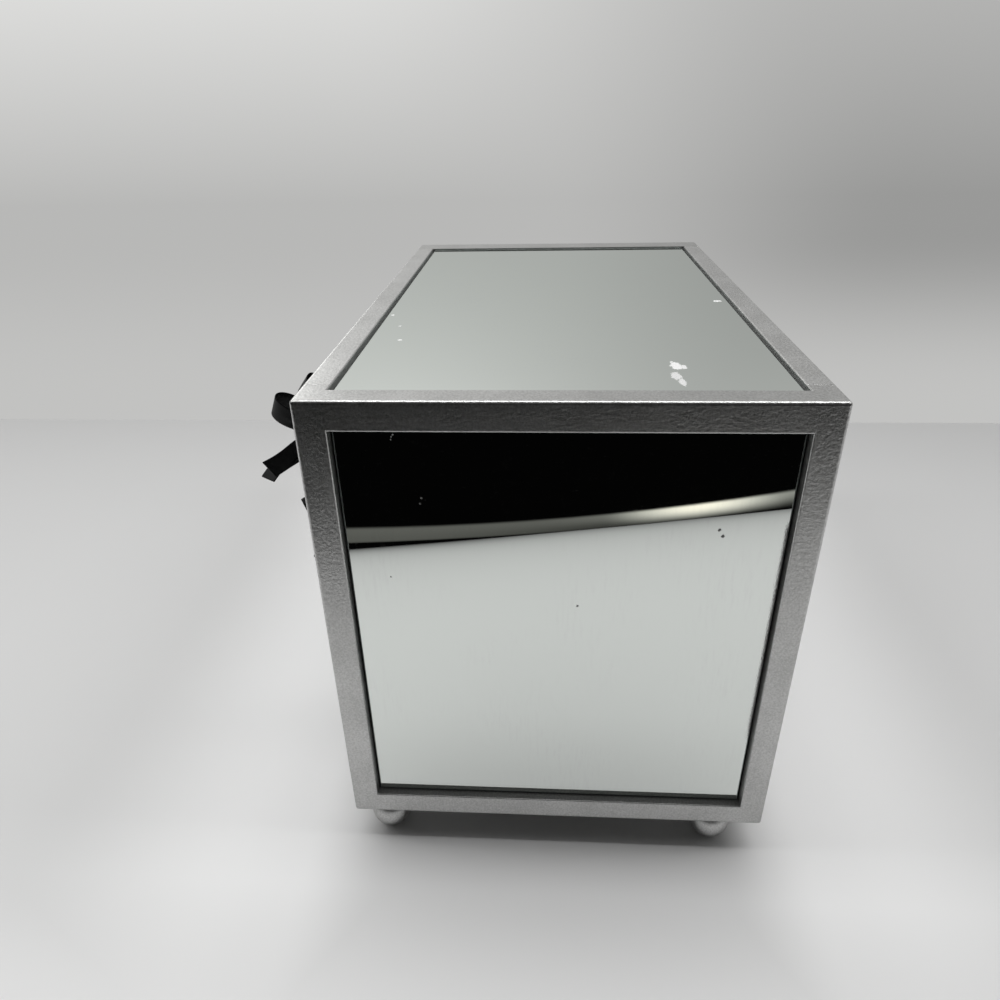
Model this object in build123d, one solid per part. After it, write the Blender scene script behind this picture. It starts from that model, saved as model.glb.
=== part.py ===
from build123d import *
import os
from math import cos, radians, sin, sqrt

# Mirrored jewellery box: a silver case on four ball feet, mirrors let into its top and ends,
# and three mirrored drawers, each pulled by two ribbon bows. Sizes are in millimetres.
# +X is the right end as seen from the drawers, -Y the drawer side and +Z up. The feet stand on Z = 0,
# and the origin is the bottom centre of the whole box with its bows.

# Case boards
case_length = 245.0
case_depth = 153.0
case_height = 167.0
end_thickness = 13.5
top_thickness = 10.0
bottom_thickness = 10.0
back_thickness = 9.0
shelf_thickness = 6.0
outer_round = 1.1
seam_chamfer = 0.25

# Mirrors, and the pockets that they lie in
mirror_thickness = 2.0
mirror_inset = 2.8
mirror_gap = 0.6
mirror_arris = 0.4
pocket_round = 0.5

# The top mirror lies less deep and with more room round it
top_mirror_inset = 0.8
top_mirror_gap = 1.2

# Frame left round each end mirror
end_rail_front = 9.5
end_rail_back = 8.8
end_rail_top = 9.3
end_rail_bottom = 9.1

# Frame left round the top mirror, whose pocket stops at the left end board
top_rail_right = 9.2
top_rail_left = end_thickness
top_rail_front = 8.5
top_rail_back = 8.2

# Ball feet, each with a pin glued into an end board
foot_ball = 15.6
foot_base_radius = 2.4
foot_seat_radius = 3.9
foot_end_inset = 9.0
foot_front_inset = 12.0
foot_back_inset = 17.0
foot_pin_radius = 2.5
foot_pin_length = 12.0
foot_hole_spare = 0.5

# Drawers
drawer_reveal = 0.8
drawer_side_gap = 0.8
drawer_slide_gap = 0.3
drawer_rear_gap = 5.0
front_thickness = 12.0
front_rail_side = 8.0
front_rail_edge = 6.5
front_round = 0.8
side_thickness = 6.0
side_height = 35.0
base_thickness = 3.0
base_height = 3.0
groove_depth = 2.5
lining_thickness = 1.2

# Ribbon bows
ribbon_width = 10.0
ribbon_thickness = 0.6
ribbon_gathered = 4.0
gather_run = 9.0
bow_end_inset = 57.5
bow_hole_radius = 2.6
stem_radius = 1.8
knot_width = 6.5
knot_depth = 6.0
knot_height = 7.5
knot_chamfer = 1.5
knot_slack = 9.3
stop_knot_size = 7.0
loop_length = 24.0
loop_fullness = 7.0
tail_length = 27.0
tail_slant = 2.6
tail_sag = 1.5

# How each bow lies. A loop or tail is its turn to the right, its climb and its twist in degrees,
# then how much longer it is than most.
upper_right_bow = {
    "loops": [(18, 34, -24, -4), (-56, 45, 18, -2.5)],
    "tails": [(51, -17, -12, 0.5), (34, -32, 85, 2)],
}
upper_left_bow = {
    "loops": [(60, 12, 0, 0), (-52, 26, -20, 1)],
    "tails": [(16, -36, 12, 0), (-24, -30, 0, 2)],
}
middle_right_bow = {
    "loops": [(-35, 43, 8, -0.5), (82, 9, 4, -4)],
    "tails": [(-36, -44, 0, -4), (-58, -26, 10, -2)],
}
middle_left_bow = {
    "loops": [(58, 18, 15, 0), (-60, 6, 0, 0)],
    "tails": [(22, -38, 0, -1), (-14, -42, 0, -2)],
}
lower_right_bow = {
    "loops": [(84, 8, 0, -4), (-56, 20, -15, 0)],
    "tails": [(-34, -42, 0, -4), (-60, -20, 0, -3)],
}
lower_left_bow = {
    "loops": [(62, 6, 0, -1), (-54, 20, 0, 1)],
    "tails": [(28, -32, 0, 0), (-12, -44, 10, -3)],
}

# The drawers from the bottom up, with the bow on each side
drawer_bows = {
    "bottom": {"right": lower_right_bow, "left": lower_left_bow},
    "middle": {"right": middle_right_bow, "left": middle_left_bow},
    "top": {"right": upper_right_bow, "left": upper_left_bow},
}
sides = {"right": 1, "left": -1}

# Places closer than this count as one, and how far a cut runs past an outer face
tiny = 1e-4
cut_past = 1.0

# Heights and lengths that follow from the sizes above
foot_radius = foot_ball / 2
foot_centre = sqrt(foot_radius**2 - foot_base_radius**2)
foot_height = foot_centre + sqrt(foot_radius**2 - foot_seat_radius**2)
case_bottom = foot_height
case_top = case_bottom + case_height
case_end = case_length / 2
inner_end = case_end - end_thickness
inner_bottom = case_bottom + bottom_thickness
inner_top = case_top - top_thickness
mirror_pocket = mirror_inset + mirror_thickness
shelf_count = len(drawer_bows) - 1
bay_height = (inner_top - inner_bottom - shelf_count * shelf_thickness) / len(drawer_bows)
drawer_end = inner_end - drawer_side_gap
box_end = drawer_end - side_thickness
base_end = box_end + groove_depth
bow_x = case_end - bow_end_inset
knot_out = knot_slack + knot_depth / 2
standing = (Align.CENTER, Align.CENTER, Align.MIN)


def span(x, y, z):
    """A box between two values on each axis."""
    low = [min(pair) for pair in (x, y, z)]
    size = [abs(pair[1] - pair[0]) for pair in (x, y, z)]
    return Pos(*low) * Box(*size, align=Align.MIN)


def edges_on(shape, **places):
    """The edges whose middles lie at each named place, such as x=0 and z=5."""
    found = []
    for edge in shape.edges():
        middle = edge.center()
        at = {"x": middle.X, "y": middle.Y, "z": middle.Z}
        if all(abs(at[axis] - place) < tiny for axis, place in places.items()):
            found.append(edge)
    return ShapeList(found)


def face_on(shape, axis, place):
    """The largest flat face at a place on an axis."""
    return shape.faces().filter_by_position(axis, place - tiny, place + tiny).sort_by(SortBy.AREA)[-1]


def pointing(turn, climb):
    """A unit vector out of the drawer face, turned to the right and raised by two angles in degrees."""
    level = cos(radians(climb))
    return Vector(sin(radians(turn)) * level, -cos(radians(turn)) * level, sin(radians(climb)))


def along_ribbon(turn, climb, twist):
    """The place of a ribbon, with its X outwards from the knot and its Z across the ribbon."""
    along = pointing(turn, climb)
    upright = Vector(0, 0, 1)
    across = (upright - along * upright.dot(along)).normalized()
    across = across.rotate(Axis((0, 0, 0), along), twist)
    return Plane(origin=(0, -knot_out, 0), x_dir=along, z_dir=across).location


def ribbon_outline(length, slant):
    """The flat ribbon from its gathered end at the knot to its cut end, thick enough to trim a bent one."""
    near, far = ribbon_gathered / 2, ribbon_width / 2
    points = [(0, -near), (gather_run, -far), (length - slant, -far)]
    points += [(length, far), (gather_run, far), (0, near)]
    return extrude(Plane.XZ * make_face(Polyline(*points, close=True)), loop_fullness, both=True)


def teardrop(radius, centre, apex):
    """A round end with two straight sides that meet at a point, as a face."""
    rise = radius / (centre - apex)
    touch_x = centre - radius * rise
    touch_y = radius * sqrt(1 - rise**2)
    sides_face = make_face(Polyline((apex, 0), (touch_x, touch_y), (touch_x, -touch_y), close=True))
    return sides_face + Pos(centre, 0) * Circle(radius)


def bow_loop(turn, climb, twist, extra):
    """One loop of ribbon, out from the knot and back."""
    length = loop_length + extra
    radius = loop_fullness / 2
    centre = length - radius
    outer = teardrop(radius, centre, 0)
    inner = teardrop(radius - ribbon_thickness, centre, ribbon_thickness * centre / radius)
    band = extrude(outer - inner, ribbon_width / 2, both=True)
    return along_ribbon(turn, climb, twist) * (band & ribbon_outline(length + ribbon_thickness, 0))


def bow_tail(turn, climb, twist, extra):
    """One ribbon tail, a little bent, its end cut at a slant."""
    length = tail_length + extra
    half = ribbon_thickness / 2
    outer = ThreePointArc((0, half), (length / 2, tail_sag + half), (length, half))
    inner = ThreePointArc((0, -half), (length / 2, tail_sag - half), (length, -half))
    ends = [Line((0, -half), (0, half)), Line((length, -half), (length, half))]
    band = extrude(make_face([outer, inner, *ends]), ribbon_width / 2, both=True)
    return along_ribbon(turn, climb, twist) * (band & ribbon_outline(length, tail_slant))


def bow(shape):
    """A tied bow in front of the mirror, its stem through the drawer front, and the knot that stops it."""
    depth = front_thickness - mirror_inset + lining_thickness
    knot = Pos(0, -knot_out, 0) * Box(knot_width, knot_depth, knot_height)
    knot = chamfer(knot.edges(), knot_chamfer)
    stem_length = depth + knot_out + stop_knot_size / 2
    stem = Pos(0, -knot_out, 0) * Rot(X=-90) * Cylinder(stem_radius, stem_length, align=standing)
    stop_knot = Pos(0, depth + stop_knot_size / 2, 0) * Box(*[stop_knot_size] * 3)
    stop_knot = chamfer(stop_knot.edges(), knot_chamfer)
    loops = [bow_loop(*loop) for loop in shape["loops"]]
    tails = [bow_tail(*tail) for tail in shape["tails"]]
    return knot + [stem, stop_knot, *loops, *tails]


bows = {
    (drawer, side): bow(shape)
    for drawer, pair in drawer_bows.items()
    for side, shape in pair.items()
}

# The bows stand out in front of the case, so the case lies half of that behind the origin
bow_reach = -mirror_inset - min(shape.bounding_box().min.Y for shape in bows.values())
case_front = (bow_reach - case_depth) / 2
case_back = case_front + case_depth

# The mirror pockets, as a range on each axis
end_pocket_y = (case_front + end_rail_front, case_back - end_rail_back)
end_pocket_z = (case_bottom + end_rail_bottom, case_top - end_rail_top)
top_pocket_x = (-case_end + top_rail_left, case_end - top_rail_right)
top_pocket_y = (case_front + top_rail_front, case_back - top_rail_back)
top_pocket_low = case_top - top_mirror_inset - mirror_thickness
front_pocket_x = (front_rail_side - drawer_end, drawer_end - front_rail_side)

# Places along a drawer, from the mirror's face to the back of the drawer box
mirror_face = case_front + mirror_inset
front_pocket_y = (mirror_face, case_front + mirror_pocket)
front_inner = case_front + front_thickness
drawer_back = case_back - back_thickness - drawer_rear_gap
box_back = drawer_back - side_thickness
base_y = (front_inner - groove_depth, box_back + groove_depth)


def end_board(side):
    """An end board, with a mirror pocket outside, a rebate for the top mirror and two pin holes."""
    outer = side * case_end
    inner = side * inner_end
    shape = span((inner, outer), (case_front, case_back), (case_bottom, case_top))
    shape = fillet(edges_on(shape, x=outer) + edges_on(shape, x=(inner + outer) / 2), outer_round)
    pocket_x = (outer - side * mirror_pocket, outer + side * cut_past)
    shape -= span(pocket_x, end_pocket_y, end_pocket_z)
    mouth = face_on(shape, Axis.X, outer).inner_wires()[0].edges()
    shape = fillet(mouth, pocket_round)
    rebate_end = top_pocket_x[1] if side > 0 else top_pocket_x[0]
    rebate = (rebate_end - inner) * side
    if rebate > tiny:
        rebate_x = (inner - side * cut_past, rebate_end)
        shape -= span(rebate_x, top_pocket_y, (top_pocket_low, case_top + cut_past))
        mouth = edges_on(shape, x=rebate_end, z=case_top)
        for place in top_pocket_y:
            mouth += edges_on(shape, y=place, z=case_top)
        shape = fillet(mouth, min(pocket_round, rebate / 3))
    for place in (case_front + foot_front_inset, case_back - foot_back_inset):
        hole = Cylinder(foot_pin_radius, foot_pin_length + foot_hole_spare, align=standing)
        shape -= Pos(side * (case_end - foot_end_inset), place, case_bottom) * hole
    return shape


def top_board():
    """The top board between the end boards, with the channel that its mirror lies in."""
    shape = span((-inner_end, inner_end), (case_front, case_back), (inner_top, case_top))
    long_edges = edges_on(shape, y=case_front, z=case_top) + edges_on(shape, y=case_back, z=case_top)
    shape = fillet(long_edges, outer_round)
    ends = edges_on(shape, x=-inner_end, z=case_top) + edges_on(shape, x=inner_end, z=case_top)
    shape = chamfer(ends, seam_chamfer)
    shape -= span((-case_end, case_end), top_pocket_y, (top_pocket_low, case_top + cut_past))
    mouth = edges_on(shape, y=top_pocket_y[0], z=case_top) + edges_on(shape, y=top_pocket_y[1], z=case_top)
    return fillet(mouth, pocket_round)


def bottom_board():
    """The bottom board between the end boards."""
    shape = span((-inner_end, inner_end), (case_front, case_back), (case_bottom, inner_bottom))
    edges = edges_on(shape, y=case_front, z=case_bottom) + edges_on(shape, y=case_back, z=case_bottom)
    return fillet(edges, outer_round)


def back_board():
    """The back board, which fills the back between the other four."""
    return span((-inner_end, inner_end), (case_back - back_thickness, case_back), (inner_bottom, inner_top))


def shelf(bay):
    """The shelf over a bay, flush with the front of the case."""
    low = inner_bottom + (bay + 1) * bay_height + bay * shelf_thickness
    depth = (case_front, case_back - back_thickness)
    return span((-inner_end, inner_end), depth, (low, low + shelf_thickness))


def inside(pair, gap):
    """A range narrowed by a gap at both ends."""
    return (min(pair) + gap, max(pair) - gap)


def end_mirror(side):
    """The mirror on an end board, its front edges ground off."""
    face = side * (case_end - mirror_inset)
    thick = (side * (case_end - mirror_pocket), face)
    plate = span(thick, inside(end_pocket_y, mirror_gap), inside(end_pocket_z, mirror_gap))
    return chamfer(face_on(plate, Axis.X, face).edges(), mirror_arris)


def top_mirror():
    """The mirror on the top, its front edges ground off."""
    face = case_top - top_mirror_inset
    x, y = inside(top_pocket_x, top_mirror_gap), inside(top_pocket_y, top_mirror_gap)
    plate = span(x, y, (top_pocket_low, face))
    return chamfer(face_on(plate, Axis.Z, face).edges(), mirror_arris)


def foot(side, place):
    """A ball foot, flat where it stands and where it meets the case, with its pin."""
    ball = Pos(0, 0, foot_centre) * Sphere(foot_radius)
    ball &= Cylinder(foot_ball, foot_height, align=standing)
    pin_length = foot_height + foot_pin_length - foot_centre
    pin = Pos(0, 0, foot_centre) * Cylinder(foot_pin_radius, pin_length, align=standing)
    return Pos(side * (case_end - foot_end_inset), place, 0) * (ball + pin)


def bay_range(bay):
    """The height of a bay's floor and ceiling."""
    low = inner_bottom + bay * (bay_height + shelf_thickness)
    return (low, low + bay_height)


def bow_holes(bay, y):
    """Two bars that drill a drawer's bow holes through a range of Y."""
    centre = sum(bay_range(bay)) / 2
    length = abs(y[1] - y[0])
    bar = Rot(X=-90) * Cylinder(bow_hole_radius, length, align=standing)
    return [Pos(side * bow_x, min(y), centre) * bar for side in sides.values()]


def drawer_base(bay):
    """The thin panel under a drawer, held in grooves on all four sides."""
    low = bay_range(bay)[0] + drawer_slide_gap + base_height
    return span((-base_end, base_end), base_y, (low, low + base_thickness))


def drawer_front(bay):
    """A drawer front with its mirror pocket, its bow holes and the groove for the base."""
    height = inside(bay_range(bay), drawer_reveal)
    shape = span((-drawer_end, drawer_end), (case_front, front_inner), height)
    shape = fillet(edges_on(shape, y=case_front), front_round)
    pocket_y = (case_front - cut_past, case_front + mirror_pocket)
    shape -= span(front_pocket_x, pocket_y, inside(height, front_rail_edge))
    mouth = face_on(shape, Axis.Y, case_front).inner_wires()[0].edges()
    shape = fillet(mouth, pocket_round)
    return shape - [drawer_base(bay), *bow_holes(bay, (case_front, front_inner))]


def drawer_mirror(bay):
    """The mirror on a drawer front, drilled for the bows, its front edges ground off."""
    height = inside(bay_range(bay), drawer_reveal + front_rail_edge + mirror_gap)
    plate = span(inside(front_pocket_x, mirror_gap), front_pocket_y, height)
    plate = chamfer(face_on(plate, Axis.Y, mirror_face).edges(), mirror_arris)
    return plate - bow_holes(bay, front_pocket_y)


def box_range(bay):
    """The height of a drawer box's lower and upper edges."""
    low = bay_range(bay)[0] + drawer_slide_gap
    return (low, low + side_height)


def drawer_side(bay, side):
    """A drawer side, grooved for the base."""
    shape = span((side * box_end, side * drawer_end), (front_inner, drawer_back), box_range(bay))
    return shape - drawer_base(bay)


def drawer_rear(bay):
    """The drawer's rear board between its sides, grooved for the base."""
    return span((-box_end, box_end), (box_back, drawer_back), box_range(bay)) - drawer_base(bay)


def drawer_lining(bay):
    """The velvet lining over the drawer's floor and walls, as an open tray."""
    x, y = (-box_end, box_end), (front_inner, box_back)
    low = box_range(bay)[0] + base_height + base_thickness
    high = box_range(bay)[1]
    room_x, room_y = inside(x, lining_thickness), inside(y, lining_thickness)
    tray = span(x, y, (low, high)) - span(room_x, room_y, (low + lining_thickness, high + cut_past))
    return tray - bow_holes(bay, (front_inner, front_inner + lining_thickness))


def case_parts():
    """The fixed case, by node name."""
    parts = {
        "top_board": top_board(),
        "bottom_board": bottom_board(),
        "back_board": back_board(),
        "top_mirror": top_mirror(),
    }
    for bay in range(shelf_count):
        parts[f"shelf_{bay + 1}"] = shelf(bay)
    for name, side in sides.items():
        parts[f"end_board_{name}"] = end_board(side)
        parts[f"end_mirror_{name}"] = end_mirror(side)
        parts[f"foot_front_{name}"] = foot(side, case_front + foot_front_inset)
        parts[f"foot_back_{name}"] = foot(side, case_back - foot_back_inset)
    return parts


def drawer_parts(bay, drawer):
    """One drawer, by node name."""
    parts = {
        f"{drawer}_drawer_front": drawer_front(bay),
        f"{drawer}_drawer_mirror": drawer_mirror(bay),
        f"{drawer}_drawer_rear": drawer_rear(bay),
        f"{drawer}_drawer_base": drawer_base(bay),
        f"{drawer}_drawer_lining": drawer_lining(bay),
    }
    centre = sum(bay_range(bay)) / 2
    for name, side in sides.items():
        parts[f"{drawer}_drawer_side_{name}"] = drawer_side(bay, side)
        place = Pos(side * bow_x, mirror_face, centre)
        parts[f"{drawer}_drawer_bow_{name}"] = place * bows[drawer, name]
    return parts


nodes = case_parts()
for bay, drawer in enumerate(drawer_bows):
    nodes.update(drawer_parts(bay, drawer))

os.makedirs("parts", exist_ok=True)
for name, shape in nodes.items():
    export_step(shape, f"parts/{name}.step")
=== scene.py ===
"""Mirrored jewellery box: finishes, ribbon bows, velvet linings and a plain studio around the model."""
import logging
from dataclasses import dataclass
from enum import Enum
from functools import cached_property
from math import atan2, copysign, cos, pi, radians, sin
from typing import Callable, Sequence

import bmesh
import bpy
from mathutils import Matrix, Vector, noise


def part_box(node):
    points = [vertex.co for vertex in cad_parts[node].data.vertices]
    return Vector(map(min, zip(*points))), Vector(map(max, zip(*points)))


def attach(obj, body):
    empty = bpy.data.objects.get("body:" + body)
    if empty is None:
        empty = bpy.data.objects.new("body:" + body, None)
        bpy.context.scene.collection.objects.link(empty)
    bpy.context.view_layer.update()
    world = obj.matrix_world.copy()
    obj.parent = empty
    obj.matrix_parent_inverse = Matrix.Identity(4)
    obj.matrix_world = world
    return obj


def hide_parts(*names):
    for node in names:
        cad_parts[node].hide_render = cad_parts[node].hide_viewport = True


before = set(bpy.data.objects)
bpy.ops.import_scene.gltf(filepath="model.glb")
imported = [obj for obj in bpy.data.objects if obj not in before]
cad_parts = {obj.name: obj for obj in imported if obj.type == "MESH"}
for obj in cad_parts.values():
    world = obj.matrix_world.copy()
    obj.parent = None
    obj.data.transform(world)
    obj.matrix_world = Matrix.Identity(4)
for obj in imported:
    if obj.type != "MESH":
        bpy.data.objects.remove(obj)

logging.basicConfig(level=logging.INFO, format="%(message)s")
LOG = logging.getLogger("jewellery_box")

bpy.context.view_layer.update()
MM = 0.001
Colour = tuple[float, float, float, float]
Triple = tuple[float, float, float]
Mesh = bmesh.types.BMesh
Material = bpy.types.Material
Piece = bpy.types.Object
Socket = bpy.types.NodeSocket


class Level(Enum):
    """The drawers, from the bottom up."""

    BOTTOM = "bottom"
    MIDDLE = "middle"
    TOP = "top"


class Side(Enum):
    """The two ends of the box, as seen from the drawers."""

    RIGHT = "right"
    LEFT = "left"


class Facing(Enum):
    """Which way a mirror faces."""

    END = "X"
    FRONT = "Y"
    TOP = "Z"


@dataclass(frozen=True)
class Ramp:
    """A smooth step between two values, and what it gives at each."""

    low: float
    high: float
    at_low: float = 0.0
    at_high: float = 1.0


@dataclass(frozen=True)
class Grain:
    """The scale, detail and roughness of a noise."""

    scale: float
    detail: float = 2.0
    roughness: float = 0.5


class Graph:
    """A short way to write the nodes of a material or a world."""

    def __init__(self, owner: Material | bpy.types.World) -> None:
        """Start with an empty tree."""
        owner.use_nodes = True
        self.owner = owner
        self.tree = owner.node_tree
        self.tree.nodes.clear()

    @cached_property
    def whole(self) -> Socket:
        """The object's own coordinates."""
        return self.node("TexCoord").outputs["Object"]

    @cached_property
    def split(self) -> dict[str, Socket]:
        """The same coordinates, split."""
        return self.parts(self.whole)

    def node(self, kind: str, inputs: dict | None = None, **settings: object) -> bpy.types.Node:
        """Add a node.

        Args:
            kind: The node's type, without ShaderNode before it.
            inputs: A value or an output socket for each input, by name or by number.
            settings: The node's own settings.

        Returns:
            The new node.
        """
        made = self.tree.nodes.new(f"ShaderNode{kind}")
        for name, value in settings.items():
            setattr(made, name, value)
        for key, value in (inputs or {}).items():
            if isinstance(value, Socket):
                self.tree.links.new(value, made.inputs[key])
            else:
                made.inputs[key].default_value = value
        return made

    def show(self, kind: str, inputs: dict) -> Material | bpy.types.World:
        """Add the shader that shows, and the output.

        Args:
            kind: The shader's type.
            inputs: Its inputs.

        Returns:
            The material or the world.
        """
        shader = self.node(kind, inputs)
        self.node(f"Output{type(self.owner).__name__}", {"Surface": shader.outputs[0]})
        return self.owner

    def principled(self, base: Socket, rough: object, others: dict) -> Material:
        """Show a colour and a roughness, with a principled shader's other inputs."""
        return self.show("BsdfPrincipled", {"Base Color": base, "Roughness": rough, **others})

    def math(self, operation: str, *values: object, clamp: bool = False) -> Socket:
        """The result of one sum on values or sockets."""
        inputs = dict(enumerate(values))
        return self.node("Math", inputs, operation=operation, use_clamp=clamp).outputs[0]

    def add(self, first: object, second: object) -> Socket:
        """One value and another."""
        return self.math("ADD", first, second)

    def less(self, first: object, second: object, clamp: bool = False) -> Socket:
        """One value less another."""
        return self.math("SUBTRACT", first, second, clamp=clamp)

    def times(self, first: object, *others: object) -> Socket:
        """Values multiplied, from the first to the last."""
        for other in others:
            first = self.math("MULTIPLY", first, other)
        return first

    def blend(self, share: object, first: object, second: object) -> Socket:
        """A value that goes from one to another with a share."""
        return self.add(self.times(first, self.less(1.0, share)), self.times(second, share))

    def ramp(self, value: object, ramp: Ramp) -> Socket:
        """A smooth step of a value."""
        inputs = {"Value": value, "From Min": ramp.low, "From Max": ramp.high,
                  "To Min": ramp.at_low, "To Max": ramp.at_high}
        return self.node("MapRange", inputs, interpolation_type="SMOOTHSTEP").outputs["Result"]

    def mix(self, factor: object, first: object, second: object) -> Socket:
        """A mix of two colours, which are the node's inputs 6 and 7 and its output 2."""
        return self.node("Mix", {0: factor, 6: first, 7: second}, data_type="RGBA").outputs[2]

    def parts(self, vector: object) -> dict[str, Socket]:
        """A vector's three parts."""
        return dict(zip("XYZ", self.node("SeparateXYZ", {0: vector}).outputs))

    def stretched(self, vector: object, scale: Sequence[float]) -> Socket:
        """Coordinates scaled along each axis."""
        return self.node("Mapping", {"Vector": vector, "Scale": scale}).outputs[0]

    def noise(self, grain: Grain, vector: Socket | None = None) -> Socket:
        """Fine noise from 0 to 1, on the object's own coordinates if no others are given."""
        inputs = {"Vector": self.whole if vector is None else vector,
                  "Scale": grain.scale, "Detail": grain.detail, "Roughness": grain.roughness}
        return self.node("TexNoise", inputs).outputs["Fac"]

    def bump(self, height: object, strength: float, depth: float) -> Socket:
        """The normal of a relief."""
        inputs = {"Height": height, "Strength": strength, "Distance": depth}
        return self.node("Bump", inputs).outputs[0]

    def ray(self, kind: str) -> Socket:
        """1 for rays of one kind and 0 for the others."""
        return self.node("LightPath").outputs[f"Is {kind} Ray"]


def new_graph(name: str) -> Graph:
    """The graph of a new material."""
    return Graph(bpy.data.materials.new(name))


def grey(value: float) -> Colour:
    """A plain grey."""
    return (value, value, value, 1.0)


@dataclass(frozen=True)
class Unsprayed:
    """The box where the paint turns dark, and how softly it begins at its low and high ends: unpainted board
    that the spray hardly reaches, and painted shade on the walls of the mirrors' pockets.
    """

    low: Vector
    high: Vector
    soft_low: Vector
    soft_high: Vector
    ragged: float = 1.4 * MM
    grit: Grain = Grain(1700.0, 3.0, 0.7)

    def mask(self, g: Graph) -> Socket:
        """1 inside the box and 0 outside it, with a ragged rim.

        Args:
            g: The material's graph.

        Returns:
            The mask.
        """
        grit = g.times(g.less(g.noise(self.grit), 0.5), self.ragged)
        steps = []
        for axis, low, high, first, last in zip("XYZ", self.low, self.high, self.soft_low, self.soft_high):
            place = g.add(g.split[axis], grit)
            begins, ends = Ramp(low, low + first), Ramp(high - last, high, 1.0, 0.0)
            steps += [g.ramp(place, begins), g.ramp(place, ends)]
        return g.times(*steps)


@dataclass(frozen=True)
class SilverPaint:
    """Silver paint with flakes and a little orange peel, dark where the spray doesn't reach and with painted
    shade on the walls of the mirrors' pockets.
    """

    colour: Colour = (0.65, 0.65, 0.645, 1.0)
    shade: Colour = (0.43, 0.43, 0.425, 1.0)
    # Dark of unpainted board, also painted shade on the walls of the mirrors' pockets.
    bare: Colour = (0.060, 0.057, 0.054, 1.0)
    roughness: float = 0.36
    roughness_spread: float = 0.16
    bare_roughness: float = 0.35
    flake: Grain = Grain(1500.0, 3.0, 0.7)
    peel: Grain = Grain(800.0)
    cloud: Grain = Grain(60.0, 3.0)
    flake_share: float = 0.75
    flake_height: float = 0.5
    tone: Ramp = Ramp(0.32, 0.68)
    bump: float = 0.38
    bump_depth: float = 0.2 * MM

    def material(self, name: str, unsprayed: Unsprayed | None = None) -> Material:
        """Make the paint.

        Args:
            name: The material's name.
            unsprayed: Where the spray hardly reaches and shade is painted on the pocket walls, if there is
                such a place.

        Returns:
            The material.
        """
        g = new_graph(name)
        flake = g.noise(self.flake)
        peel = g.noise(self.peel)
        cloud = g.noise(self.cloud)
        tone = g.add(g.times(flake, self.flake_share), g.times(cloud, 1 - self.flake_share))
        base = g.mix(g.ramp(tone, self.tone), self.shade, self.colour)
        rough = g.add(g.times(g.less(flake, 0.5), self.roughness_spread), self.roughness)
        metal = 1.0
        # Inside the mask the paint turns dark: unpainted board, and painted shade on the pocket walls.
        if unsprayed is not None:
            mask = unsprayed.mask(g)
            base = g.mix(mask, base, self.bare)
            rough = g.add(rough, g.times(mask, self.bare_roughness))
            metal = g.less(1.0, mask, clamp=True)
        bump = g.bump(g.add(g.times(flake, self.flake_height), peel), self.bump, self.bump_depth)
        return g.principled(base, rough, {"Metallic": metal, "Normal": bump})


@dataclass(frozen=True)
class Mark:
    """A fleck or speck on a mirror, in mm: its place on the plate, radius, brightness and stretch."""

    first: float
    second: float
    radius: float
    tone: float
    stretch: float = 1.0
    ragged: float = 1.6
    ragged_detail: tuple[float, float] = (3.0, 0.6)
    rim: float = 0.75

    def mask(self, g: Graph, place: Sequence[Socket], corner: Sequence[float]) -> Socket:
        """The mask of the mark, with a ragged rim.

        Args:
            g: The material's graph.
            place: The coordinates along the plate's two axes.
            corner: The plate's low corner along them.

        Returns:
            The mask.
        """
        radius = self.radius * MM
        aside = g.math("DIVIDE", g.less(place[0], corner[0] + self.first * MM), self.stretch)
        along = g.less(place[1], corner[1] + self.second * MM)
        away = g.math("POWER", g.add(g.times(aside, aside), g.times(along, along)), 0.5)
        grain = Grain(self.ragged / radius, *self.ragged_detail)
        ragged = g.times(g.noise(grain), radius * self.ragged)
        near = g.add(away, g.less(ragged, radius * self.ragged / 2))
        return g.ramp(near, Ramp(radius * self.rim, radius, 1.0, 0.0))


@dataclass(frozen=True)
class Wear:
    """Silvering gone in specks along a plate's edge, between two places on it."""

    reach: float
    low: float
    high: float
    tone: float = 0.30
    low_fade: float = 20.0 * MM
    high_fade: float = 6.0 * MM
    grain: Grain = Grain(3200.0, 3.0, 0.75)
    lift: float = 0.36
    step: Ramp = Ramp(0.68, 0.80)

    def mask(self, g: Graph, inward: Socket, along: Socket, start: float) -> Socket:
        """The mask of the specks, closest together at the edge.

        Args:
            g: The material's graph.
            inward: The distance from the worn edge.
            along: The coordinate along it.
            start: That coordinate at the plate's low corner.

        Returns:
            The mask.
        """
        low, high = start + self.low, start + self.high
        near = g.ramp(inward, Ramp(0.0, self.reach, 1.0, 0.0))
        begins = g.ramp(along, Ramp(low, low + self.low_fade))
        ends = g.ramp(along, Ramp(high - self.high_fade, high, 1.0, 0.0))
        specks = g.noise(self.grain)
        return g.ramp(g.add(specks, g.times(near, begins, ends, self.lift)), self.step)


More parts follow.
